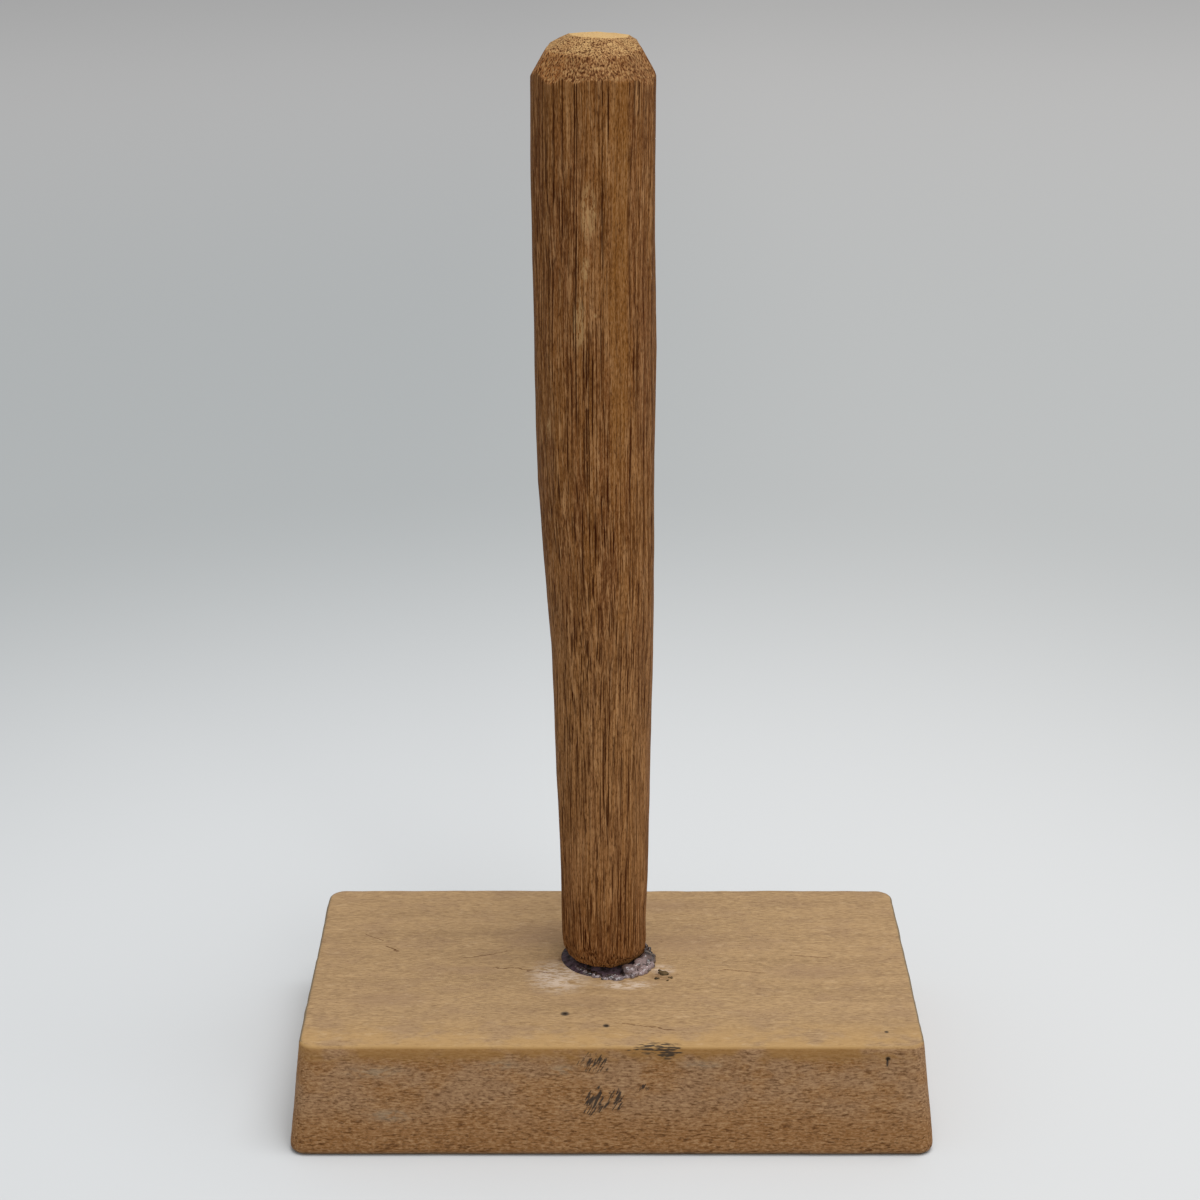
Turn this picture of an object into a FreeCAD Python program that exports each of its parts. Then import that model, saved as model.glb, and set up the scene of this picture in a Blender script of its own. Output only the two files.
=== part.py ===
import FreeCAD, Part
import math
import os
import Sketcher

# A hand-whittled wooden bat that stands on its foot, glued into a socket in a wooden block.
# The frame has +Z up and the front towards -Y. Its origin is the centre of the block's underside.

# The driving dimensions, in millimetres unless the note says otherwise.
SIZES = {
    # block: length and depth are those of the underside, and each side leans in by base_draft
    "base_length": 132.4,
    "base_depth": 77.4,
    "base_thickness": 24.0,
    "base_draft": 2.6,
    "corner_radius": 3.2,
    "top_arris": 0.7,
    "under_arris": 1.5,
    # socket: a blind round hole in the block's top, placed from the block's centre
    "socket_diameter": 19.0,
    "socket_depth": 16.0,
    "socket_x": -1.2,
    "socket_y": 3.2,
    # glue between the tenon and the socket: its wall where the tenon enters, and its floor
    "glue_wall": 2.4,
    "glue_floor": 1.0,
    # bat: heights go up from the block's top, drops go down from the crown, and each
    # diameter is measured across the corners between the whittled facets
    "bat_rise": 196.2,
    "lean": -2.6,
    "tenon_taper": 1.6,
    "neck_height": 1.0,
    "foot_height": 7.5,
    "foot_diameter": 18.4,
    "waist_height": 27.0,
    "waist_diameter": 18.7,
    "belly_height": 124.0,
    "head_diameter": 24.4,
    "shoulder_drop": 8.2,
    "tier_drop": 2.2,
    "tier_diameter": 18.6,
    "crown_diameter": 11.6,
    # collar: a half-round ring of glue whose middle lies this far inside the socket's rim
    "collar_inset": 0.6,
    "collar_bead": 1.1,
    "lump_radius": 2.6,
    # drops of glue outside the socket's rim
    "drop_gap": 5.0,
    "drop_radius": 1.1,
}
FACETS = 12
# Turn about the socket's axis in degrees from +X, and share of the full radius.
LUMPS = [(-8, 1.0), (-30, 0.95), (-52, 0.8), (-84, 0.6), (-128, 0.65), (-168, 0.75)]
DROPS = [(-34, 1.0), (-46, 0.7), (-23, 0.6)]

doc = FreeCAD.newDocument("bat_on_block")
sheet = doc.addObject("Spreadsheet::Sheet", "sizes")
for row, (alias, size) in enumerate(SIZES.items(), start=1):
    sheet.set("A%d" % row, alias)
    sheet.set("B%d" % row, str(size))
    sheet.setAlias("B%d" % row, alias)
doc.recompute()

# Sizes that follow from the driving ones.
BLOCK_TOP = "sizes.base_thickness"
SOCKET_RADIUS = "sizes.socket_diameter / 2"
SOCKET_FLOOR = "(sizes.base_thickness - sizes.socket_depth)"
NECK_DIAMETER = "(sizes.socket_diameter - 2 * sizes.glue_wall)"
TENON_DROP = "(sizes.glue_floor - sizes.socket_depth)"
ROUND_EPSILON = 0.01


def check(feature):
    # Recomputes the document and stops if the feature failed.
    doc.recompute()
    if {"Invalid", "Error"} & set(feature.State) or not feature.Shape.isValid():
        raise RuntimeError("%s failed: %s" % (feature.Name, feature.State))
    return feature


def addSketch(body, name, role, **offsets):
    # A sketch on one of the body's own origin planes, moved off it by x, y and z expressions.
    sketch = body.newObject("Sketcher::SketchObject", name)
    plane = [feature for feature in body.Origin.OriginFeatures if feature.Role == role][0]
    sketch.AttachmentSupport = [(plane, "")]
    sketch.MapMode = "FlatFace"
    for axis, expression in offsets.items():
        sketch.setExpression("AttachmentOffset.Base." + axis, expression)
    return sketch


def drive(sketch, constraint, name, expression):
    # Adds a dimension to the sketch and ties it to the sheet.
    index = sketch.addConstraint(constraint)
    sketch.renameConstraint(index, name)
    sketch.setExpression("Constraints." + name, expression)


def addOutline(sketch, corners):
    # Straight edges from corner to corner, closed, and joined end to end.
    points = [FreeCAD.Vector(x, y, 0) for x, y in corners]
    edges = []
    for start, end in zip(points, points[1:] + points[:1]):
        edges.append(sketch.addGeometry(Part.LineSegment(start, end), False))
    for edge, follower in zip(edges, edges[1:] + edges[:1]):
        sketch.addConstraint(Sketcher.Constraint("Coincident", edge, 2, follower, 1))
    return edges


def edgesWhere(shape, test):
    # The names of the edges whose bounding box passes the test.
    return ["Edge%d" % number for number, edge in enumerate(shape.Edges, start=1) if test(edge.BoundBox)]


def addFillet(body, name, base, test, radius):
    fillet = body.newObject("PartDesign::Fillet", name)
    fillet.Base = (base, edgesWhere(base.Shape, test))
    fillet.setExpression("Radius", radius)
    return check(fillet)


def makeBlock():
    # A slab with leaning sides, soft upright corners, worn arrises and the bored socket.
    block = doc.addObject("PartDesign::Body", "base_block")
    underside = addSketch(block, "underside", "XY_Plane")
    halfX = SIZES["base_length"] / 2
    halfY = SIZES["base_depth"] / 2
    corners = [(-halfX, -halfY), (halfX, -halfY), (halfX, halfY), (-halfX, halfY)]
    front, right, back, left = addOutline(underside, corners)
    for edge in (front, back):
        underside.addConstraint(Sketcher.Constraint("Horizontal", edge))
    for edge in (right, left):
        underside.addConstraint(Sketcher.Constraint("Vertical", edge))
    underside.addConstraint(Sketcher.Constraint("Symmetric", front, 1, right, 2, -1, 1))
    length = Sketcher.Constraint("DistanceX", front, 1, front, 2, SIZES["base_length"])
    drive(underside, length, "length", "sizes.base_length")
    depth = Sketcher.Constraint("DistanceY", right, 1, right, 2, SIZES["base_depth"])
    drive(underside, depth, "depth", "sizes.base_depth")

    slab = block.newObject("PartDesign::Pad", "slab")
    slab.Profile = underside
    slab.setExpression("Length", BLOCK_TOP)
    slab.setExpression("TaperAngle", "-atan(sizes.base_draft / sizes.base_thickness)")
    check(slab)

    top = SIZES["base_thickness"]
    corners = addFillet(block, "corners", slab, lambda box: box.ZLength > top / 2, "sizes.corner_radius")
    wornTop = addFillet(block, "worn_top", corners, lambda box: box.ZMin > top - ROUND_EPSILON,
                        "sizes.top_arris")
    wornUnder = addFillet(block, "worn_under", wornTop, lambda box: box.ZMax < ROUND_EPSILON,
                          "sizes.under_arris")

    mouth = addSketch(block, "socket_mouth", "XY_Plane", x="sizes.socket_x", y="sizes.socket_y", z=BLOCK_TOP)
    startRadius = SIZES["socket_diameter"] / 2
    circle = Part.Circle(FreeCAD.Vector(0, 0, 0), FreeCAD.Vector(0, 0, 1), startRadius)
    rim = mouth.addGeometry(circle, False)
    mouth.addConstraint(Sketcher.Constraint("Coincident", rim, 3, -1, 1))
    drive(mouth, Sketcher.Constraint("Radius", rim, startRadius), "radius", SOCKET_RADIUS)
    socket = block.newObject("PartDesign::Pocket", "socket")
    socket.Profile = mouth
    socket.setExpression("Length", "sizes.socket_depth")
    check(socket)
    bored = wornUnder.Shape.Volume - socket.Shape.Volume
    expected = math.pi * startRadius ** 2 * SIZES["socket_depth"]
    if abs(bored - expected) > 0.01 * expected:
        raise RuntimeError("the socket took out %.1f mm3, not %.1f" % (bored, expected))
    return block


def makeBat():
    # Whittled facets run from ring to ring of corners, from the tenon's end to the crown.
    bat = doc.addObject("PartDesign::Body", "bat")

    def addRing(name, diameter, height):
        # A regular outline of facet corners, carried sideways by the stick's lean at that height.
        across = "sizes.socket_x + sizes.lean * %s / sizes.bat_rise" % height
        up = "%s + %s" % (BLOCK_TOP, height)
        ring = addSketch(bat, name, "XY_Plane", x=across, y="sizes.socket_y", z=up)
        startRadius = SIZES["head_diameter"] / 2
        turns = [2 * math.pi * facet / FACETS for facet in range(FACETS)]
        corners = [(startRadius * math.cos(turn), startRadius * math.sin(turn)) for turn in turns]
        edges = addOutline(ring, corners)
        circle = Part.Circle(FreeCAD.Vector(0, 0, 0), FreeCAD.Vector(0, 0, 1), startRadius)
        guide = ring.addGeometry(circle, True)
        ring.addConstraint(Sketcher.Constraint("Coincident", guide, 3, -1, 1))
        for edge in edges:
            ring.addConstraint(Sketcher.Constraint("PointOnObject", edge, 1, guide))
        for edge in edges[1:]:
            ring.addConstraint(Sketcher.Constraint("Equal", edges[0], edge))
        ring.addConstraint(Sketcher.Constraint("PointOnObject", edges[0], 1, -1))
        drive(ring, Sketcher.Constraint("Diameter", guide, 2 * startRadius), "across_corners", diameter)
        return ring

    rings = [
        addRing("tenon_end", "%s - sizes.tenon_taper" % NECK_DIAMETER, TENON_DROP),
        addRing("neck", NECK_DIAMETER, "sizes.neck_height"),
        addRing("foot", "sizes.foot_diameter", "sizes.foot_height"),
        addRing("waist", "sizes.waist_diameter", "sizes.waist_height"),
        addRing("belly", "sizes.head_diameter", "sizes.belly_height"),
        addRing("shoulder", "sizes.head_diameter", "(sizes.bat_rise - sizes.shoulder_drop)"),
        addRing("tier", "sizes.tier_diameter", "(sizes.bat_rise - sizes.tier_drop)"),
        addRing("crown", "sizes.crown_diameter", "sizes.bat_rise"),
    ]
    doc.recompute()
    stick = bat.newObject("PartDesign::AdditiveLoft", "stick")
    stick.Profile = rings[0]
    stick.Sections = rings[1:]
    stick.Ruled = True
    check(stick)
    return bat


def addPrimitive(kind, name, sizes, reach, turn, height):
    # A Part primitive with its sizes tied to the sheet, at a reach and a turn about the socket's axis.
    shape = doc.addObject(kind, name)
    for key, expression in sizes.items():
        shape.setExpression(key, expression)
    shape.setExpression("Placement.Base.x", "sizes.socket_x + (%s) * cos(%g deg)" % (reach, turn))
    shape.setExpression("Placement.Base.y", "sizes.socket_y + (%s) * sin(%g deg)" % (reach, turn))
    shape.setExpression("Placement.Base.z", height)
    return shape


def addDomes(name, radius, reach, places):
    # Half balls that lie flat on the block's top.
    domes = []
    for number, (turn, share) in enumerate(places, start=1):
        sizes = {"Radius": "%g * %s" % (share, radius)}
        dome = addPrimitive("Part::Sphere", "%s_%d" % (name, number), sizes, reach, turn, BLOCK_TOP)
        dome.Angle1 = 0
        domes.append(dome)
    return domes


def cutFrom(name, whole, tool):
    cut = doc.addObject("Part::Cut", name)
    cut.Base = whole
    cut.Tool = tool
    return check(cut)


def makeGlueBed(bat):
    # What fills the socket, level with the block's top, less the tenon.
    sizes = {"Radius": SOCKET_RADIUS, "Height": "sizes.socket_depth"}
    fill = addPrimitive("Part::Cylinder", "socket_fill", sizes, "0", 0, SOCKET_FLOOR)
    return cutFrom("glue_bed", fill, bat)


def makeGlueCollar(bat):
    # A half-round ring over the socket's rim, with lumps along it, cut to the bat's foot.
    ring = doc.addObject("PartDesign::Body", "collar_ring")
    section = addSketch(ring, "collar_section", "XZ_Plane",
                        x="sizes.socket_x", y=BLOCK_TOP, z="-sizes.socket_y")
    middle = SIZES["socket_diameter"] / 2 - SIZES["collar_inset"]
    bead = SIZES["collar_bead"]
    inner = FreeCAD.Vector(middle - bead, 0, 0)
    outer = FreeCAD.Vector(middle + bead, 0, 0)
    flat = section.addGeometry(Part.LineSegment(inner, outer), False)
    crest = section.addGeometry(Part.Arc(outer, FreeCAD.Vector(middle, bead, 0), inner), False)
    section.addConstraint(Sketcher.Constraint("Coincident", crest, 1, flat, 2))
    section.addConstraint(Sketcher.Constraint("Coincident", crest, 2, flat, 1))
    section.addConstraint(Sketcher.Constraint("PointOnObject", flat, 1, -1))
    section.addConstraint(Sketcher.Constraint("PointOnObject", flat, 2, -1))
    section.addConstraint(Sketcher.Constraint("PointOnObject", crest, 3, -1))
    drive(section, Sketcher.Constraint("Radius", crest, bead), "bead", "sizes.collar_bead")
    drive(section, Sketcher.Constraint("DistanceX", -1, 1, crest, 3, middle), "middle",
          SOCKET_RADIUS + " - sizes.collar_inset")
    turned = ring.newObject("PartDesign::Revolution", "turned")
    turned.Profile = section
    turned.ReferenceAxis = (section, ["V_Axis"])
    turned.Angle = 360
    check(turned)

    lumpy = doc.addObject("Part::MultiFuse", "lumpy_ring")
    lumpy.Shapes = [ring] + addDomes("lump", "sizes.lump_radius", SOCKET_RADIUS, LUMPS)
    check(lumpy)
    return cutFrom("glue_collar", lumpy, bat)


def makeGlueDrops():
    group = doc.addObject("Part::Compound", "glue_drops")
    group.Links = addDomes("drop", "sizes.drop_radius", SOCKET_RADIUS + " + sizes.drop_gap", DROPS)
    return check(group)


block = makeBlock()
bat = makeBat()
pieces = [block, bat, makeGlueBed(bat), makeGlueCollar(bat), makeGlueDrops()]
doc.recompute()

for made in doc.Objects:
    if {"Invalid", "Error"} & set(made.State):
        raise RuntimeError("%s failed: %s" % (made.Name, made.State))
for piece in pieces:
    if piece.Shape.isNull() or not piece.Shape.isValid() or not piece.Shape.Solids:
        raise RuntimeError("%s is not a valid solid" % piece.Label)

os.makedirs("parts", exist_ok=True)
for piece in pieces:
    piece.Shape.exportStep("parts/%s.step" % piece.Label)
    box = piece.Shape.optimalBoundingBox()
    print("%-12s %d solid(s)  %10.2f mm3  x %.2f..%.2f  y %.2f..%.2f  z %.2f..%.2f"
          % (piece.Label, len(piece.Shape.Solids), piece.Shape.Volume,
             box.XMin, box.XMax, box.YMin, box.YMax, box.ZMin, box.ZMax))
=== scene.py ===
import math
import random

import bmesh
import bpy
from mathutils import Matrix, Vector


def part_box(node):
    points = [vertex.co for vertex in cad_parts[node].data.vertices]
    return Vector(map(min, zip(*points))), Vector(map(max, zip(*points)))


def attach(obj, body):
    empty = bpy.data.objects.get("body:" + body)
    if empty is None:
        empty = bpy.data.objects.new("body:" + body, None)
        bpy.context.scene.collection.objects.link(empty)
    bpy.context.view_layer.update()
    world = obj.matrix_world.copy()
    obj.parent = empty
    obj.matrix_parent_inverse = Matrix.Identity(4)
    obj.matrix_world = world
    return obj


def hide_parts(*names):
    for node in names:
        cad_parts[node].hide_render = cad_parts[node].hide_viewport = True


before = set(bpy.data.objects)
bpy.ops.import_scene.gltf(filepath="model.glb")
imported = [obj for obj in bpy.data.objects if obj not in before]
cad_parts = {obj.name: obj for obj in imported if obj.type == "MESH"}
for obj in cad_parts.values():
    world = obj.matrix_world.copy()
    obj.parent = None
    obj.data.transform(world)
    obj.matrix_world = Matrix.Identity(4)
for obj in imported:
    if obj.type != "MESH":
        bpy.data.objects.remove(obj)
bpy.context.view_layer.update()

mm = 0.001
hair = 0.01 * mm  # two points closer than this are one
blockLow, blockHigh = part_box("base_block")
batLow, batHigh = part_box("bat")
bedLow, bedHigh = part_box("glue_bed")
blockTop = bedHigh.z
socketMiddle = (bedLow + bedHigh) / 2
socketRadius = (bedHigh.x - bedLow.x) / 2
upright = 0.9  # how far up or down a direction has to point to count as upright


def dropSelection():
    if bpy.context.object and bpy.context.object.mode != "OBJECT":
        bpy.ops.object.mode_set(mode="OBJECT")
    bpy.ops.object.select_all(action="DESELECT")


def activate(piece):
    dropSelection()
    piece.select_set(True)
    bpy.context.view_layer.objects.active = piece


def addPrimitive(kind, name, **settings):
    # a new mesh whose place is moved into its points, left open in edit mode with all of it selected
    dropSelection()
    getattr(bpy.ops.mesh, "primitive_" + kind + "_add")(**settings)
    piece = bpy.context.object
    piece.name = name
    piece.data.name = name
    bpy.ops.object.transform_apply(location=True, rotation=True, scale=True)
    bpy.ops.object.mode_set(mode="EDIT")
    bpy.ops.mesh.select_all(action="SELECT")
    return piece


def pick(kind, test):
    # selects the points, edges or faces of the open mesh that pass a test
    bpy.ops.mesh.select_mode(type=kind)
    bpy.ops.mesh.select_all(action="DESELECT")
    mesh = bmesh.from_edit_mesh(bpy.context.edit_object.data)
    for element in {"VERT": mesh.verts, "EDGE": mesh.edges, "FACE": mesh.faces}[kind]:
        if test(element):
            element.select_set(True)
    bmesh.update_edit_mesh(bpy.context.edit_object.data)


def edgeRun(edge):
    return (edge.verts[1].co - edge.verts[0].co).normalized()


def cutOff(point, normal, snap=0.1 * mm):
    # pares away what lies beyond the plane and closes the cut
    bpy.ops.mesh.select_all(action="SELECT")
    bpy.ops.mesh.bisect(plane_co=point, plane_no=normal, use_fill=True, clear_outer=True, threshold=snap)


def slice(low, high, step, normal):
    # divides all faces by evenly spaced planes
    direction = Vector(normal)
    start, end = low.dot(direction), high.dot(direction)
    count = int((end - start) / step)
    for number in range(1, count):
        place = start + (end - start) * number / count
        bpy.ops.mesh.select_all(action="SELECT")
        bpy.ops.mesh.bisect(plane_co=direction * place, plane_no=normal)


def tidyMesh(merge=hair):
    bpy.ops.mesh.select_all(action="SELECT")
    bpy.ops.mesh.remove_doubles(threshold=merge)
    bpy.ops.mesh.normals_make_consistent(inside=False)
    bpy.ops.object.mode_set(mode="OBJECT")


def applyModifier(piece, kind, name, **settings):
    modifier = piece.modifiers.new(name, kind)
    for key, value in settings.items():
        setattr(modifier, key, value)
    activate(piece)
    bpy.ops.object.modifier_apply(modifier=modifier.name)


def ripple(piece, name, grainSize, depth, shift=0, group=""):
    # moves the surface in and out by a smooth noise whose lumps measure grainSize in mm
    bpy.ops.object.empty_add(location=(shift * mm, 2 * shift * mm, 3 * shift * mm))
    ruler = bpy.context.object
    ruler.scale = [size * mm for size in grainSize]
    texture = bpy.data.textures.new(name, "CLOUDS")
    texture.noise_scale = 1
    texture.noise_depth = 2
    bpy.context.view_layer.update()
    applyModifier(piece, "DISPLACE", name, texture=texture, texture_coords="OBJECT",
                  texture_coords_object=ruler, strength=depth * mm, mid_level=0.5, vertex_group=group)
    bpy.data.objects.remove(ruler)
    bpy.data.textures.remove(texture)


def carve(piece, tool):
    applyModifier(piece, "BOOLEAN", "carve", operation="DIFFERENCE", object=tool, solver="EXACT")
    bpy.data.objects.remove(tool)


def smoothShade(piece, degrees):
    activate(piece)
    bpy.ops.object.shade_smooth_by_angle(angle=math.radians(degrees))


def finishPiece(piece, node, material):
    piece.data.materials.clear()
    piece.data.materials.append(material)
    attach(piece, "root")
    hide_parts(node)
    print("finished", piece.name, len(piece.data.polygons), "faces")


class Value:
    # a socket that can be added, subtracted, multiplied and divided
    def __init__(self, shader, socket):
        self.shader = shader
        self.socket = socket

    def maths(self, operation, first, second):
        return self.shader.node("ShaderNodeMath", {"operation": operation}, {0: first, 1: second})

    def __add__(self, other):
        return self.maths("ADD", self, other)

    def __radd__(self, other):
        return self.maths("ADD", other, self)

    def __sub__(self, other):
        return self.maths("SUBTRACT", self, other)

    def __rsub__(self, other):
        return self.maths("SUBTRACT", other, self)

    def __mul__(self, other):
        return self.maths("MULTIPLY", self, other)

    def __rmul__(self, other):
        return self.maths("MULTIPLY", other, self)

    def __truediv__(self, other):
        return self.maths("DIVIDE", self, other)


class Shader:
    # one material, whose nodes are added by calls that return their sockets
    def __init__(self, name, finish):
        self.finish = finish
        self.material = bpy.data.materials.new(name)
        self.material.use_nodes = True
        self.nodes = self.material.node_tree.nodes
        self.links = self.material.node_tree.links
        self.surface = self.nodes["Principled BSDF"]

    def node(self, kind, settings, inputs, output=0):
        made = self.nodes.new(kind)
        for key, value in settings.items():
            setattr(made, key, value)
        for key, value in inputs.items():
            self.plug(made.inputs[key], value)
        return Value(self, made.outputs[output])

    def plug(self, socket, value):
        if isinstance(value, Value):
            self.links.new(value.socket, socket)
        elif isinstance(value, tuple) and socket.type == "RGBA":
            socket.default_value = (*value, 1)
        else:
            socket.default_value = value

    def set(self, **values):
        # sockets of the surface, named with _ for a space
        for key, value in values.items():
            self.plug(self.surface.inputs[key.replace("_", " ")], value)

    def place(self):
        # where a point of the object lies, in mm
        here = self.node("ShaderNodeTexCoord", {}, {}, "Object")
        return self.node("ShaderNodeVectorMath", {"operation": "SCALE"}, {0: here, "Scale": 1 / mm})

    def split(self, vector):
        made = self.node("ShaderNodeSeparateXYZ", {}, {0: vector}).socket.node
        return [Value(self, made.outputs[axis]) for axis in range(3)]

    def join(self, x, y, z):
        return self.node("ShaderNodeCombineXYZ", {}, {0: x, 1: y, 2: z})

    def stretch(self, vector, x, y, z):
        # the vector measured in lengths of x, y and z mm
        return self.node("ShaderNodeVectorMath", {"operation": "DIVIDE"}, {0: vector, 1: (x, y, z)})

    def noise(self, vector, detail, roughness=0.5):
        return self.node("ShaderNodeTexNoise", {},
                         {"Vector": vector, "Scale": 1.0, "Detail": detail, "Roughness": roughness})

    def lumps(self, vector, name, detail, roughness=0.5):
        # noise whose lumps have the size that the finish gives for the name
        return self.noise(self.stretch(vector, *self.finish["size"][name]), detail, roughness)

    def cells(self, vector, output="Distance"):
        return self.node("ShaderNodeTexVoronoi", {}, {"Vector": vector, "Scale": 1.0}, output)

    def step(self, value, low, high):
        # a soft step from 0 at low to 1 at high, or down again where low is the larger
        return self.node("ShaderNodeMapRange", {"interpolation_type": "SMOOTHSTEP"},
                         {"Value": value, "From Min": low, "From Max": high})

    def rise(self, value, name):
        # a soft step between the two levels that the finish gives for the name
        return self.step(value, *self.finish["level"][name])

    def power(self, value, exponent):
        return self.node("ShaderNodeMath", {"operation": "POWER"}, {0: value, 1: exponent})

    def blend(self, factor, first, second):
        return self.node("ShaderNodeMix", {"data_type": "RGBA"}, {0: factor, 6: first, 7: second}, 2)

    def spot(self, place, middle, reach, soft):
        # 1 inside an ellipsoid of the given reach, falling softly to 0 at its skin
        away = self.node("ShaderNodeVectorMath", {"operation": "SUBTRACT"}, {0: place, 1: middle})
        share = self.stretch(away, *reach)
        length = self.node("ShaderNodeVectorMath", {"operation": "LENGTH"}, {0: share}, "Value")
        return self.step(length, 1.0, 1.0 - soft)

    def field(self, place, marks, soft):
        # the sum of the spots in a list
        total = 0
        for middle, reach in marks:
            total = self.spot(place, middle, reach, soft) + total
        return total

    def bump(self, height, depth):
        return self.node("ShaderNodeBump", {}, {"Height": height, "Distance": depth * mm, "Strength": 1.0})

    def facing(self):
        return self.split(self.node("ShaderNodeNewGeometry", {}, {}, "Normal"))


batShape = {
    "facets": 13,
    "edgeRound": 1.0,
    # how far the ends of a knife stroke stray across and along, in mm
    "wander": 0.35,
    "stray": 5,
    "seed": 11,
    # height above the block's top, middle's place across, half width, in mm
    "rings": [(-2, -1.0, 8.9), (9, -1.45, 9.3), (23, -1.6, 9.35), (46, -1.85, 9.95), (68, -2.05, 10.55),
              (90, -2.4, 11.3), (111, -3.1, 11.75), (131, -3.5, 12.25), (152, -3.7, 12.15),
              (172, -3.75, 12.4), (198, -3.7, 12.3)],
    # whittled slopes: cuts round the stick, middle's place across, reach and height of a slope's
    # middle, its tilt from upright on the left and on the right, and how uneven the reach is
    "lowerTier": {"cuts": 13, "across": -3.55, "reach": 10.7, "height": 191.0,
                  "tilts": (28, 26), "uneven": 0.35},
    "upperTier": {"cuts": 10, "across": -3.0, "reach": 6.9, "height": 194.9,
                  "tilts": (59, 58), "uneven": 0.3},
    "footTaper": {"cuts": 10, "across": -1.05, "reach": 8.85, "height": 5.0,
                  "tilts": (-11, -18), "uneven": 0.15},
    "footTier": {"cuts": 12, "across": -1.35, "reach": 7.35, "height": 1.3,
                 "tilts": (-25, -38), "uneven": 0.2},
    "crown": 195.8,
    "crownSlope": (0.03, 0.035, 1),
    "footLow": 1.2,
    "footLip": 0.8,
    "tenonTaper": 0.93,
    # edges of the pared facets: those sharper than this, in degrees, rounded by this, in mm
    "sharp": 14,
    "paredRound": 0.22,
    # fine mesh: height of a ring, sectors round the stick, and a point on the line where they meet
    "step": 1.2,
    "sectors": 48,
    "axis": (100, -2.6),
    "merge": 0.03,
    "shadeAngle": 40,
    # unevenness: name, size of its lumps, depth and shift in mm
    "ripples": [("longWaver", (7, 7, 38), 0.45, 0), ("knifeChatter", (2.2, 2.2, 9), 0.16, 7)],
}


def makeBat():
    shape = batShape
    chance = random.Random(shape["seed"])
    rings = shape["rings"]

    def spotAt(height, across):
        return Vector((across * mm, socketMiddle.y, blockTop + height * mm))

    low, across, radius = rings[0]
    bat = addPrimitive("circle", "batStick", vertices=shape["facets"], radius=radius * mm,
                       fill_type="NGON", location=spotAt(low, across))
    for (lastHeight, lastAcross, lastRadius), (height, across, radius) in zip(rings, rings[1:]):
        step = ((across - lastAcross) * mm, 0, (height - lastHeight) * mm)
        bpy.ops.mesh.extrude_region_move(TRANSFORM_OT_translate={"value": step})
        grow = radius / lastRadius
        bpy.ops.transform.resize(value=(grow, grow, 1), center_override=spotAt(height, across))
    # no two knife strokes meet at quite the same height or line, and the ends stay flat
    low, high = spotAt(rings[0][0], 0).z, spotAt(rings[-1][0], 0).z
    pointCount = len(bmesh.from_edit_mesh(bat.data).verts)
    for index in range(pointCount):
        pick("VERT", lambda point: point.index == index)
        points = bmesh.from_edit_mesh(bat.data).verts
        points.ensure_lookup_table()
        inside = low + mm < points[index].co.z < high - mm
        offset = [chance.uniform(-1, 1) * shape["wander"] * mm for axis in "xy"]
        rise = chance.uniform(-shape["stray"], shape["stray"]) * mm
        bpy.ops.transform.translate(value=(*offset, rise if inside else 0))
    pick("EDGE", lambda edge: abs(edgeRun(edge).z) > upright)
    bpy.ops.mesh.bevel(offset=shape["edgeRound"] * mm, segments=2, affect="EDGES")

    def pareRound(tier):
        # knife cuts side by side round the stick, each a little off the last
        for number in range(tier["cuts"]):
            turn = 2 * math.pi * (number + chance.uniform(-0.3, 0.3)) / tier["cuts"]
            rightward = (1 + math.cos(turn)) / 2
            tilt = tier["tilts"][0] * (1 - rightward) + tier["tilts"][1] * rightward + chance.uniform(-3, 3)
            outward = Vector((math.cos(turn), math.sin(turn), 0))
            normal = outward * math.cos(math.radians(tilt)) + Vector((0, 0, math.sin(math.radians(tilt))))
            reach = tier["reach"] + chance.uniform(-1, 1) * tier["uneven"]
            cutOff(spotAt(tier["height"], tier["across"]) + outward * reach * mm, normal)

    for tier in ("lowerTier", "upperTier", "footTaper", "footTier"):
        pareRound(shape[tier])
    cutOff(spotAt(shape["crown"], shape["upperTier"]["across"]), shape["crownSlope"])
    foot = spotAt(shape["footLow"], shape["footTier"]["across"])
    cutOff(foot, (0, 0, -1))

    pick("FACE", lambda face: face.normal.z < -upright)
    bpy.ops.mesh.inset(thickness=shape["footLip"] * mm)
    bpy.ops.mesh.extrude_region_move(TRANSFORM_OT_translate={"value": (0, 0, batLow.z - foot.z)})
    bpy.ops.transform.resize(value=(shape["tenonTaper"], shape["tenonTaper"], 1), center_override=foot)

    bpy.ops.mesh.select_mode(type="EDGE")
    bpy.ops.mesh.select_all(action="DESELECT")
    bpy.ops.mesh.edges_select_sharp(sharpness=math.radians(shape["sharp"]))
    bpy.ops.mesh.bevel(offset=shape["paredRound"] * mm, segments=2, affect="EDGES", clamp_overlap=True)
    slice(batLow, batHigh, shape["step"] * mm, (0, 0, 1))
    for number in range(shape["sectors"] // 2):
        turn = 2 * math.pi * (number + 0.5) / shape["sectors"]
        bpy.ops.mesh.select_all(action="SELECT")
        bpy.ops.mesh.bisect(plane_co=spotAt(*shape["axis"]), plane_no=(math.cos(turn), math.sin(turn), 0))
    tidyMesh(shape["merge"] * mm)
    for name, size, depth, shift in shape["ripples"]:
        ripple(bat, name, size, depth, shift)
    smoothShade(bat, shape["shadeAngle"])
    return bat


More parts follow.
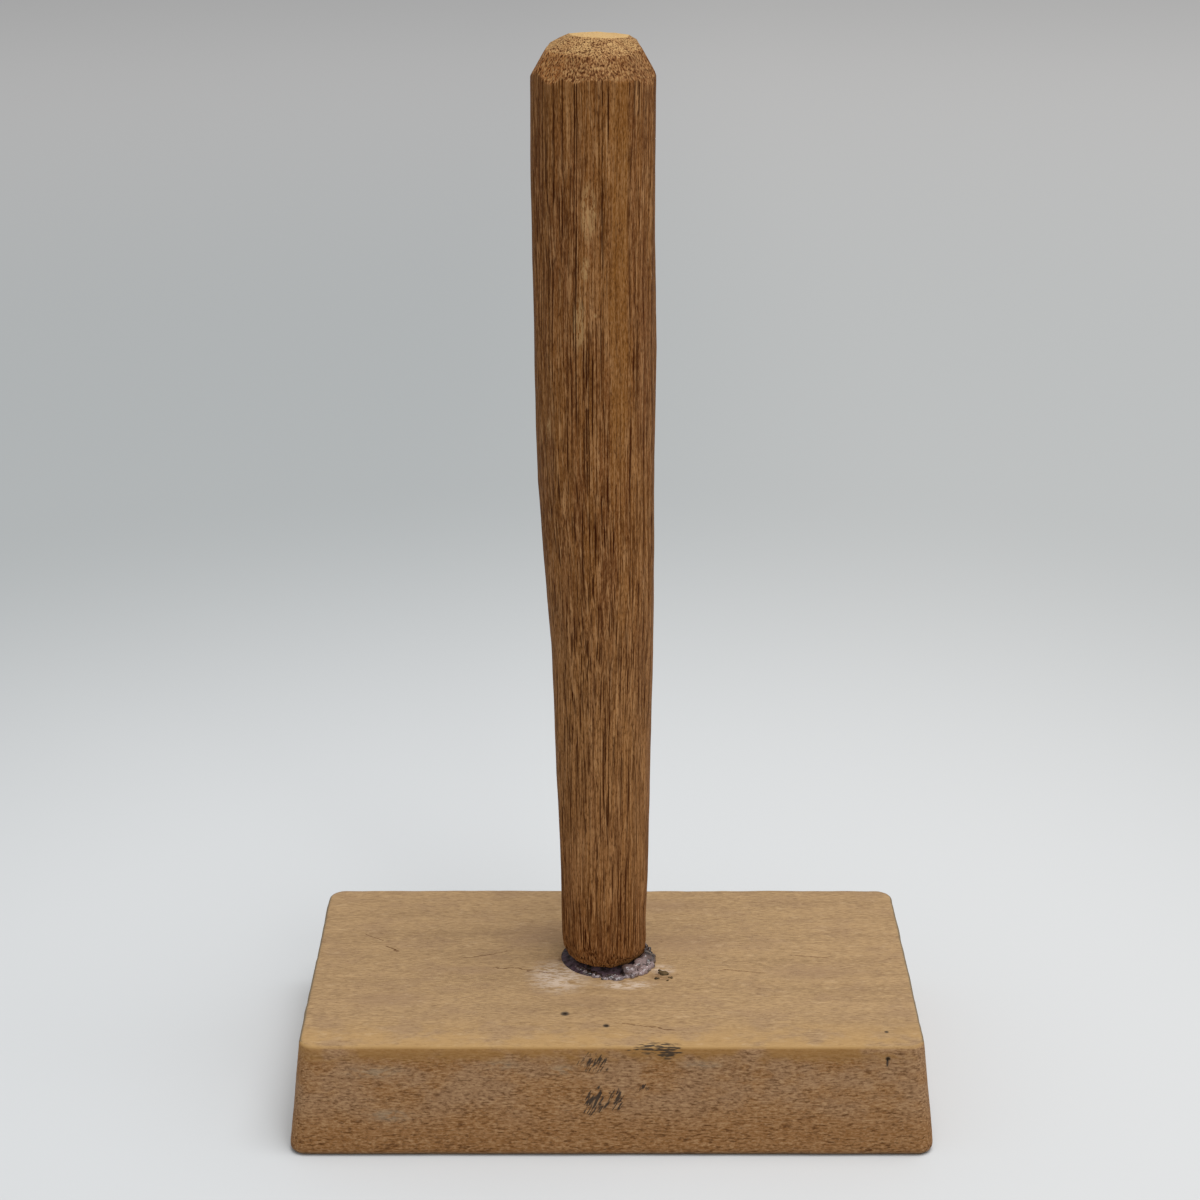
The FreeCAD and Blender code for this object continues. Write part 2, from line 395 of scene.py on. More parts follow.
blockShape = {
    "lean": 2.6,
    "uprightRound": 3.4,
    "topRound": 0.8,
    "underRound": 1.7,
    # how far the board keeps inside its full size, leaving room for the unevenness
    "skin": 0.18,
    "step": 2.0,
    "merge": 0.03,
    # unevenness: name, size of its lumps, depth and shift in mm
    "ripples": [("handPlaned", (24, 16, 12), 0.3, 0), ("worn", (3.5, 2.5, 2.5), 0.09, 5)],
    "nicks": ("arrisNicks", (6, 4, 3), 0.22, 3),
    # how far the nicked arris reaches, and how much of the underside is pressed flat
    "arris": 1.6,
    "flatUnder": 0.35,
    "socketOver": 4,
    "shadeAngle": 45,
    # pin holes: x and y on the top, or x and z on the front, their width and depth
    "topPins": [(-1.1, -27.4), (-9.6, -22.3)],
    "frontPin": (55.7, 21.2),
    "pinWidth": 1.3,
    "pinTip": 0.2,
    "pinDepth": 2.5,
}


def makeBlock():
    shape = blockShape
    skin = Vector([shape["skin"] * mm] * 2 + [0])
    low, high = blockLow + skin, blockHigh - skin
    size = high - low
    block = addPrimitive("cube", "blockBoard", size=1, location=(low + high) / 2, scale=size)
    pick("FACE", lambda face: face.normal.z > upright)
    narrow = [1 - 2 * shape["lean"] * mm / size[axis] for axis in range(2)]
    bpy.ops.transform.resize(value=(*narrow, 1), center_override=(0, 0, blockTop))
    pick("EDGE", lambda edge: abs(edgeRun(edge).z) > upright)
    bpy.ops.mesh.bevel(offset=shape["uprightRound"] * mm, segments=6, affect="EDGES")
    pick("EDGE", lambda edge: min(point.co.z for point in edge.verts) > blockTop - hair)
    bpy.ops.mesh.bevel(offset=shape["topRound"] * mm, segments=3, affect="EDGES")
    pick("EDGE", lambda edge: max(point.co.z for point in edge.verts) < hair)
    bpy.ops.mesh.bevel(offset=shape["underRound"] * mm, segments=4, affect="EDGES")
    for normal in ((1, 0, 0), (0, 1, 0), (0, 0, 1)):
        slice(low, high, shape["step"] * mm, normal)
    tidyMesh(shape["merge"] * mm)
    for name, size, depth, shift in shape["ripples"]:
        ripple(block, name, size, depth, shift)

    rim = block.vertex_groups.new(name="arris")
    for point in block.data.vertices:
        drop = (blockTop - point.co.z) / mm
        outward = max(abs(point.co[axis]) - (high[axis] - shape["lean"] * mm) for axis in range(2))
        if drop < shape["arris"] and outward > -shape["arris"] * mm:
            rim.add([point.index], 1.0, "REPLACE")
    ripple(block, *shape["nicks"], group="arris")

    bpy.ops.object.mode_set(mode="EDIT")
    pick("VERT", lambda point: point.co.z < shape["flatUnder"] * mm)
    bpy.ops.transform.resize(value=(1, 1, 0), center_override=(0, 0, 0))
    bpy.ops.object.mode_set(mode="OBJECT")

    over = shape["socketOver"] * mm
    drill = addPrimitive("cylinder", "socketDrill", vertices=64, radius=socketRadius,
                         depth=bedHigh.z - bedLow.z + over,
                         location=(socketMiddle.x, socketMiddle.y, socketMiddle.z + over / 2))
    bpy.ops.object.mode_set(mode="OBJECT")
    carve(block, drill)
    x, z = shape["frontPin"]
    frontY = low.y + shape["lean"] * mm * z * mm / blockTop
    holes = [((x * mm, y * mm, blockTop), 0) for x, y in shape["topPins"]] + [((x * mm, frontY, z * mm), 90)]
    for place, turn in holes:
        pin = addPrimitive("cone", "pinPoint", vertices=12, radius1=shape["pinTip"] / 2 * mm,
                           radius2=shape["pinWidth"] / 2 * mm, depth=shape["pinDepth"] * mm,
                           location=place, rotation=(math.radians(turn), 0, 0))
        bpy.ops.object.mode_set(mode="OBJECT")
        carve(block, pin)
    smoothShade(block, shape["shadeAngle"])
    return block


glueShape = {
    "seed": 5,
    # the ring of beads: middle, half width and half depth, in mm
    "ringMiddle": (0.3, 2.9),
    "ringHalf": (8.45, 9.7),
    # lumps: how many, their size, place outward, height and squash
    "ringLumps": 46,
    "lumpSize": (0.65, 1.1),
    "lumpAway": (-0.5, 0.1),
    "lumpHeight": (-0.35, 0.05),
    "lumpSquash": (0.6, 0.9),
    # beads on the lumps, highest at the crest and falling to both sides of it
    "beads": 170,
    "beadSize": (0.22, 0.5),
    "beadAway": (-1.3, 0.65),
    "beadHeight": 0.75,
    "crest": 0.4,
    "crestHalf": 1.1,
    # the heap on the right: turns in degrees, count and size, and its climb up the foot
    "heapTurns": (-66, -6),
    "heapLumps": 46,
    "heapSize": (0.65, 1.25),
    "heapFrom": (0.5, 0.1),
    "heapClimb": (2.1, 1.9),
    "squash": (0.7, 1.0),
    "voxel": 0.15,
    # how far the melted lumps go into the board before they are cut off flat
    "sink": 0.15,
    "exact": 0.001,
    # crumbs beside the ring, set over a small dent whose shadow their dark colour paints: x, y, size, then
    # the drops in each and their size and spread
    "crumbs": [(10.6, -3.7, 0.75), (11.5, -4.6, 0.85), (12.5, -6.5, 0.42), (11.9, -7.6, 0.34),
               (9.6, -6.6, 0.5)],
    "crumbSeed": 8,
    "crumbDrops": 6,
    "crumbSpread": 0.8,
    "crumbSize": (0.4, 0.8),
    "crumbSquash": 0.7,
    "crumbVoxel": 0.12,
    # the bed: gap to the socket, then inset and rise of each step up to the foot, in mm
    "bedGap": 0.02,
    "bedSteps": [(0.5, 0.15), (0.5, 0.1), (0.5, 0.15), (0.5, 0.3), (0.5, 0.4), (0.4, 0.5), (0.8, 0)],
    "wetFrom": 0.1,
    "wetRipple": ("setGlue", (1.1, 1.1, 1.1), 0.7),
}


def blob(name, place, radius, squash):
    dropSelection()
    bpy.ops.mesh.primitive_ico_sphere_add(subdivisions=2, radius=radius, location=place)
    piece = bpy.context.object
    piece.name = name
    piece.scale = (1, 1, squash)
    return piece


def fuseBlobs(blobs, name, voxel):
    # melts the drops together into one lumpy skin
    dropSelection()
    for piece in blobs:
        piece.select_set(True)
    bpy.context.view_layer.objects.active = blobs[0]
    bpy.ops.object.join()
    piece = bpy.context.object
    piece.name = name
    piece.data.name = name
    bpy.ops.object.transform_apply(location=True, rotation=True, scale=True)
    applyModifier(piece, "REMESH", "melt", mode="VOXEL", voxel_size=voxel * mm, use_smooth_shade=True)
    applyModifier(piece, "SMOOTH", "soften", factor=0.5, iterations=2)
    bpy.ops.object.mode_set(mode="EDIT")
    # a coarser snap would catch neighbouring points of so fine a mesh and leave it open
    exact = glueShape["exact"] * mm
    cutOff(Vector((0, 0, blockTop - glueShape["sink"] * mm)), (0, 0, -1), exact)
    tidyMesh(2 * exact)
    bpy.ops.object.shade_smooth()
    return piece


def makeCollar():
    shape = glueShape
    chance = random.Random(shape["seed"])

    def onRing(turn, away, height):
        x, y = [shape["ringMiddle"][axis] + (shape["ringHalf"][axis] + away) * part
                for axis, part in enumerate((math.cos(turn), math.sin(turn)))]
        return Vector((x * mm, y * mm, blockTop + height * mm))

    blobs = []
    for number in range(shape["ringLumps"]):
        turn = 2 * math.pi * (number + chance.uniform(-0.4, 0.4)) / shape["ringLumps"]
        radius = chance.uniform(*shape["lumpSize"])
        place = onRing(turn, chance.uniform(*shape["lumpAway"]), chance.uniform(*shape["lumpHeight"]))
        blobs.append(blob("lump", place, radius * mm, chance.uniform(*shape["lumpSquash"])))
    for number in range(shape["beads"]):
        turn = chance.uniform(0, 2 * math.pi)
        radius = chance.uniform(*shape["beadSize"])
        away = chance.uniform(*shape["beadAway"])
        slope = 1 - abs(away + shape["crest"]) / shape["crestHalf"]
        place = onRing(turn, away, shape["beadHeight"] * slope * chance.uniform(0.2, 1))
        blobs.append(blob("bead", place, radius * mm, chance.uniform(*shape["squash"])))
    outFrom, heightFrom = shape["heapFrom"]
    inward, upward = shape["heapClimb"]
    for number in range(shape["heapLumps"]):
        turn = math.radians(chance.uniform(*shape["heapTurns"]))
        climb = chance.random()
        place = onRing(turn, outFrom - inward * climb, heightFrom + upward * climb * chance.uniform(0.6, 1))
        radius = chance.uniform(*shape["heapSize"])
        blobs.append(blob("heap", place, radius * mm, chance.uniform(*shape["squash"])))
    return fuseBlobs(blobs, "glueBeads", shape["voxel"])


def makeDrops():
    # the crumbs' near black is painted shade of the small dent that they cover
    shape = glueShape
    chance = random.Random(shape["crumbSeed"])
    spread = shape["crumbSpread"]
    blobs = []
    for x, y, radius in shape["crumbs"]:
        for number in range(shape["crumbDrops"]):
            place = [(middle + chance.uniform(-spread, spread) * radius) * mm for middle in (x, y)]
            size = radius * mm * chance.uniform(*shape["crumbSize"])
            blobs.append(blob("crumb", (*place, blockTop), size, shape["crumbSquash"]))
    return fuseBlobs(blobs, "glueCrumbs", shape["crumbVoxel"])


def makeBed():
    # fills the recess and climbs a little up the foot, as glue does while it sets
    shape = glueShape
    bed = addPrimitive("cylinder", "gluePlug", vertices=96, radius=socketRadius - shape["bedGap"] * mm,
                       depth=bedHigh.z - bedLow.z, location=socketMiddle)
    pick("FACE", lambda face: face.normal.z > upright)
    for inset, climb in shape["bedSteps"]:
        bpy.ops.mesh.inset(thickness=inset * mm)
        bpy.ops.transform.translate(value=(0, 0, climb * mm))
    tidyMesh()
    wet = bed.vertex_groups.new(name="wetTop")
    for point in bed.data.vertices:
        if point.co.z > blockTop + shape["wetFrom"] * mm:
            wet.add([point.index], 1.0, "REPLACE")
    applyModifier(bed, "SUBSURF", "fine", subdivision_type="SIMPLE", levels=1, render_levels=1)
    ripple(bed, *shape["wetRipple"], group="wetTop")
    bpy.ops.object.shade_smooth()
    return bed


batFinish = {
    "base": (0.240, 0.097, 0.025),
    "deep": (0.192, 0.072, 0.021),
    "fibre": (0.45, 0.236, 0.098),
    "pore": (0.048, 0.010, 0.001),
    "latewood": (0.260, 0.106, 0.021),
    "sunned": (0.40, 0.205, 0.080),
    "orange": (0.36, 0.130, 0.030),
    "amber": (0.50, 0.225, 0.070),
    "slope": (0.235, 0.105, 0.040),
    "endGrain": (0.58, 0.385, 0.165),
    "scuff": (0.46, 0.27, 0.115),
    # scuffs: middle and reach in mm, above the block's top
    "scuffs": [((-6.4, -9, 142), (1.5, 4, 6.5)), ((-4.6, -9, 164), (1.9, 4, 7)),
               ((-5.2, -9, 153), (1.2, 4, 3)), ((-3.3, -9, 144), (0.4, 4, 0.6)),
               ((-12.5, -5, 120), (0.6, 4, 3))],
    # long cracks: place across, from and to in mm above the block's top, half width
    "cracks": [(-0.65, 176, 189, 0.10), (-7.0, 120, 160, 0.10), (-3.8, 117, 138, 0.11),
               (-1.7, 150, 172, 0.08)],
    "crackEnd": 4,
    "crackWander": 1.2,
    # how far the grain drifts and wiggles sideways, in mm
    "drift": (1.8, 1.2),
    "wiggle": 0.22,
    # open vessels: spacing, radius and length of a run in mm, and the share that stays shut
    "vessels": (0.42, 0.165, 9, 0.36),
    # the grain's slant round the stick, which places the strip of dense latewood
    "slant": (0.96, 0.28),
    "reliefDepth": 0.14,
    # size of each noise across, back and along, in mm
    "size": {"drift": (26, 26, 75), "wiggle": (1.1, 1.1, 3.4), "line": (0.26, 0.26, 20),
             "thread": (0.50, 0.50, 30), "paler": (0.54, 0.54, 24), "broken": (0.7, 0.7, 4.5),
             "dashes": (0.29, 0.29, 1.2), "fibre": (0.23, 0.23, 1.1), "streak": (1.4, 1.4, 55),
             "cloud": (7, 7, 22), "cloudlet": (2.6, 2.6, 2.2), "rubbed": (0.45, 0.45, 2.0)},
    # where each layer starts and is full, in the units of what it is read from
    "level": {"tone": (0.38, 0.60), "shaftTop": (125, 85), "shaftFoot": (24, 60), "footLight": (66, 24),
              "stripLeft": (-3.1, -2.2), "stripRight": (1.6, 0.6), "stripFoot": (118, 150),
              "sloped": (0.22, 0.5), "leftward": (-0.35, -0.65), "downward": (-0.25, -0.5),
              "crownward": (0.60, 0.98), "crown": (0.94, 0.985), "ridge": (0.0050, 0.0006),
              "ridgeRun": (0.62, 0.46), "lineLight": (0.52, 0.66), "fibreLight": (0.51, 0.68),
              "seam": (0.46, 0.34), "longer": (95, 60), "groove": (0.0038, 0.0005), "grooveRun": (0.38, 0.50),
              "fibreDark": (0.48, 0.32), "cloudletLight": (0.46, 0.62), "cloudletDark": (0.50, 0.36),
              "dashLight": (0.53, 0.66), "dashDark": (0.49, 0.36), "rubbed": (0.43, 0.54),
              "frontOnly": (0.0, -0.3)},
    # how fully each layer covers what lies under it
    "cover": {"shaft": 0.34, "footLight": 0.14, "strip": 0.6, "sloped": 0.8, "leftward": 0.7, "chamfer": 0.8,
              "crownward": 0.40, "crown": 0.9, "ridge": 0.60, "lineLight": 0.36, "fibreLight": 0.45,
              "vessel": 0.85, "seam": 0.34, "groove": 0.46, "fibreDark": 0.6, "cloudletDark": 0.30,
              "dashDark": 0.90, "rubbed": 0.75, "crack": 0.95},
}


def makeBatWood():
    tint = batFinish
    cover = tint["cover"]
    top = blockTop / mm
    shader = Shader("batWood", tint)
    place = shader.place()
    x, y, z = shader.split(place)
    drift = shader.lumps(place, "drift", 1.0) - 0.5
    wiggle = shader.lumps(place, "wiggle", 1.0) - 0.5
    gx, gy = x + drift * tint["drift"][0] + wiggle * tint["wiggle"], y + drift * tint["drift"][1]
    grain = shader.join(gx, gy, z)

    def tubes(size, radius, run, share):
        # open vessels that run along the stick, each broken into lengths of its own
        flat = shader.stretch(grain, size, size, 1e6)
        distance = shader.cells(flat)
        red, green, blue = shader.split(shader.cells(flat, "Color"))
        gate = shader.noise(shader.join(red * 60, green * 60, z / run + blue * 40), 2.0, 0.6)
        hollow = shader.step(distance, radius / size, radius / size * 0.5)
        return hollow * shader.step(gate, share, share + 0.05)

    vessel = tubes(*tint["vessels"])
    line = shader.lumps(grain, "line", 1.0)
    thread = shader.lumps(grain, "thread", 0.0) - 0.5
    paler = shader.lumps(shader.join(gx + 31, gy, z), "paler", 0.0) - 0.5  # moved aside from the threads
    broken = shader.lumps(grain, "broken", 1.0, 0.6)
    dashes = shader.lumps(grain, "dashes", 1.0)
    fibre = shader.lumps(grain, "fibre", 2.0, 0.6)
    streak = shader.lumps(grain, "streak", 2.0)
    cloud = shader.lumps(place, "cloud", 2.0)
    cloudlet = shader.lumps(place, "cloudlet", 2.0, 0.6)
    nx, ny, nz = shader.facing()
    ragged = nz + (fibre - 0.5) * 0.5

    # the shaft, paler low down, with a strip of dense latewood in front
    wood = shader.blend(shader.rise(streak * 0.5 + cloud * 0.5, "tone"), tint["deep"], tint["base"])
    shaft = shader.rise(z, "shaftTop") * shader.rise(z, "shaftFoot") * cover["shaft"]
    wood = shader.blend(shaft, wood, tint["sunned"])
    wood = shader.blend(shader.rise(z, "footLight") * cover["footLight"], wood, tint["sunned"])
    across = gx * tint["slant"][0] + gy * tint["slant"][1]
    strip = shader.rise(across, "stripLeft") * shader.rise(across, "stripRight") * shader.rise(z, "stripFoot")
    wood = shader.blend(strip * cover["strip"], wood, tint["latewood"])

    # pared slopes of the head and the foot, then the crown
    sloped = shader.rise(ragged, "sloped")
    wood = shader.blend(sloped * cover["sloped"], wood, tint["slope"])
    wood = shader.blend(sloped * shader.rise(nx, "leftward") * cover["leftward"], wood, tint["orange"])
    chamfer = shader.rise(nz, "downward") * shader.step(z, top + 3.2, top + 2.0)
    wood = shader.blend(chamfer * cover["chamfer"], wood, tint["amber"])
    crownward = shader.rise(ragged, "crownward")
    wood = shader.blend(crownward * cover["crownward"], wood, tint["endGrain"])
    crown = shader.rise(nz + (fibre - 0.5) * 0.12, "crown")
    wood = shader.blend(crown * cover["crown"], wood, tint["endGrain"])

    # pale ridges and fibres, then dark vessels, seams and grooves
    quiet = 1 - strip * 0.5 - crown * 0.85
    ridge = shader.rise(paler * paler, "ridge") * shader.rise(broken, "ridgeRun")
    pale = (ridge * cover["ridge"] + shader.rise(line, "lineLight") * cover["lineLight"]) * quiet
    wood = shader.blend(pale, wood, tint["fibre"])
    wood = shader.blend(shader.rise(fibre, "fibreLight") * cover["fibreLight"], wood, tint["fibre"])
    seam = shader.rise(line, "seam")
    longer = shader.rise(z, "longer") * 0.12
    groove = shader.rise(thread * thread, "groove") * shader.rise(broken + longer, "grooveRun")
    opening = vessel * cover["vessel"] + seam * cover["seam"] + groove * cover["groove"]
    opening = opening * quiet * (1 - sloped * 0.6)
    wood = shader.blend(opening, wood, tint["pore"])
    shadow = shader.rise(fibre, "fibreDark") * cover["fibreDark"] * (1 - sloped)
    wood = shader.blend(shadow, wood, tint["pore"])

    # speckles of end grain where the slopes cut through the fibres
    pared = sloped * (1 - crown * 0.7)
    patch = shader.rise(cloudlet, "cloudletLight") * pared * (0.08 + crownward * 0.22)
    wood = shader.blend(patch, wood, tint["endGrain"])
    patch = shader.rise(cloudlet, "cloudletDark") * pared * cover["cloudletDark"]
    wood = shader.blend(patch, wood, tint["deep"])
    speckle = shader.rise(dashes, "dashLight") * pared * (0.36 + crownward * 0.2)
    wood = shader.blend(speckle, wood, tint["endGrain"])
    speckle = shader.rise(dashes, "dashDark") * pared * cover["dashDark"]
    wood = shader.blend(speckle, wood, tint["pore"])

    scuffs = [((midX, midY, midZ + top), reach) for (midX, midY, midZ), reach in tint["scuffs"]]
    rubbed = shader.field(place, scuffs, 0.5) * shader.rise(shader.lumps(grain, "rubbed", 3.0, 0.7), "rubbed")
    wood = shader.blend(rubbed * cover["rubbed"], wood, tint["scuff"])
    crack = 0
    end = tint["crackEnd"]
    for aside, low, high, half in tint["cracks"]:
        wander = x + (streak - 0.5) * tint["crackWander"] - aside
        within = shader.step(z, top + low, top + low + end) * shader.step(z, top + high, top + high - end)
        within = within * shader.rise(ny, "frontOnly")
        crack = shader.step(wander * wander, half * half * 2, half * half * 0.4) * within + crack
    wood = shader.blend(crack * cover["crack"], wood, tint["pore"])
    relief = fibre * 0.5 + line * 0.6 - opening * 0.7 - crack
    shader.set(Base_Color=wood, Roughness=0.70 + opening * 0.15 - strip * 0.12, Specular_IOR_Level=0.05,
               Normal=shader.bump(relief, tint["reliefDepth"]))
    return shader.material


blockFinish = {
    "tan": (0.405, 0.262, 0.132),
    "tanDeep": (0.270, 0.170, 0.086),
    "tanMauve": (0.282, 0.176, 0.102),
    "cream": (0.52, 0.360, 0.205),
    "gold": (0.42, 0.255, 0.100),
    "darkGold": (0.30, 0.156, 0.047),
    "brown": (0.328, 0.175, 0.075),
    "brownMauve": (0.308, 0.182, 0.098),
    # a darker tone of the grain, and also the painted shade low on the sides
    "rustToneAndShade": (0.240, 0.108, 0.034),
    "light": (0.48, 0.300, 0.155),
    "fleck": (0.100, 0.040, 0.012),
    # grime on the arrises, and also the painted shade along the bottom edge
    "grimeAndShade": (0.150, 0.125, 0.080),
    "grey": (0.33, 0.27, 0.185),
    "soot": (0.025, 0.022, 0.020),
    "haze": (0.62, 0.50, 0.40),
    # blotches on the top, the first two beside and behind the post also a painted shadow of the post, soot
    # marks, dirty patches and glue film: middle and reach in mm
    "blotchesAndPostShadow": [((17, 9, 24), (15, 8, 6)), ((-14, 13, 24), (13, 9, 6)), ((42, -4, 24), (13, 5, 6)),
                 ((-46, -16, 24), (12, 5, 6)), ((8, 28, 24), (20, 4, 6)), ((-30, -3, 24), (10, 3, 6))],
    "sootMarks": [((8.6, -35.8, 23.5), (7.6, 3.0, 1.8)), ((11.2, -36.6, 22.2), (4.0, 2, 2.4)),
                  ((-3.7, -37, 20.4), (4.8, 3, 3.4)), ((-3.4, -37.5, 12.2), (3.6, 3, 5.2)),
                  ((1.0, -37.5, 12.8), (2.6, 3, 3.6)), ((6.7, -37, 15.0), (2.6, 3, 1.1))],
    "patches": [((-22.5, -37, 20), (6, 2, 1.8)), ((-10, -37, 19), (4, 2, 2)), ((-48, -37, 18.5), (9, 2, 2)),
                ((-45, -37, 9), (7, 2, 2)), ((18, -37, 20), (8, 2, 1.6))],
    "films": [((-11, -6, 24), (8.5, 9.5, 3)), ((3, -9.6, 24), (8, 2.8, 3)),
              ((11.0, -3.0, 24), (3.4, 3.2, 3))],
    # fine scratches on the top: from, to, half width and waver in mm
    "scratches": [((-49.0, 8.4), (-46.0, 6.0), 0.16, 0.9), ((-47.2, 6.7), (-45.6, 5.2), 0.32, 0.4),
                  ((-25.5, -2.0), (-12.5, -3.6), 0.15, 5.0), ((-32, 2.4), (-22, 5.8), 0.12, 2.4),
                  ((23.5, -2.8), (33, -4.6), 0.13, 1.6), ((0.4, -26.0), (13.4, -28.6), 0.13, 3.0),
                  ((-54, 14), (-49, 10.5), 0.10, 1.0), ((38, 4), (47, 2.4), 0.10, 1.5)],
    "scratchEnd": 0.8,
    "pinStains": [((-1.1, -27.4, 24), (0.95, 1.0, 2)), ((-9.6, -22.3, 24), (1.25, 1.3, 2)),
                  ((55.7, -36.5, 21.3), (0.75, 2, 0.7)), ((55.6, -36.5, 20.3), (0.35, 2, 1.1)),
                  ((55.9, -30.0, 24), (0.6, 0.6, 1))],
    # painted shadows: a dark patch left of the post, and one over a small dent to the front right of it
    "shadowSmears": [((10.6, -5.4, 24), (3.6, 3.2, 1)), ((-10.4, 2.2, 24), (1.8, 2.6, 1))],
    # how far the grain drifts, and how steeply the slanted soot strokes run
    "drift": 3,
    "slant": (0.5, 0.85),
    "reliefDepth": 0.06,
    # size of each noise along, across and down the board, in mm
    "size": {"drift": (45, 20, 20), "fine": (1.5, 0.24, 0.24), "line": (14, 0.7, 0.7), "band": (60, 5, 5),
             "cloud": (9, 6.5, 6), "mottle": (3.2, 1.5, 1.2), "dash": (1.5, 0.36, 0.36),
             "speck": (0.85, 0.42, 0.42), "slanted": (2.0, 2, 0.36), "level": (2.6, 0.5, 0.36)},
    # where each layer starts and is full, in the units of what it is read from
    "level": {"upward": (0.35, 0.85), "tanTone": (0.38, 0.60), "tanCloud": (0.46, 0.68),
              "frontEdge": (-22, -35), "goldCloud": (0.62, 0.42), "cream": (0.55, 0.72), "dull": (0.44, 0.28),
              "ticks": (0.60, 0.70),
              "tickCloud": (0.44, 0.6), "film": (0.43, 0.54), "shadowSmear": (0.35, 0.6), "scratch": (0.36, 0.5),
              "brownTone": (0.40, 0.58), "mauveCloud": (0.38, 0.60), "mauveUp": (3, 13),
              "dashLight": (0.50, 0.33), "lowShade": (13, 3), "speckLight": (0.53, 0.66),
              "speckDark": (0.47, 0.33), "goldUp": (19.6, 22.4), "goldPatch": (0.66, 0.40),
              "flecks": (0.50, 0.64), "fleckPatch": (0.40, 0.60), "fleckDown": (14, 5), "dirty": (0.38, 0.55),
              "foot": (1.2, 0.3), "rimSide": (0.2, 0.5), "rimTop": (0.97, 0.75), "front": (-0.1, -0.35),
              "upper": (19, 21.5), "rightward": (0, 3), "soot": (0.25, 0.62), "sootNear": (0.0, 0.2)},
    # how fully each layer covers what lies under it
    "cover": {"tanCloud": 0.34, "gold": 0.6, "cream": 0.35, "dull": 0.22, "ticks": 0.38, "film": 0.68,
              "shadowSmear": 0.75, "scratch": 0.8, "mauve": 0.7, "dashLight": 0.42, "rustToneAndShade": 0.40,
              "speckLight": 0.40,
              "speckDark": 0.52, "golden": 0.75, "flecks": 0.9, "dirty": 0.5, "foot": 0.45, "rimGrime": 0.75,
              "rimGold": 0.55, "soot": 0.88, "pinStain": 0.85},
}


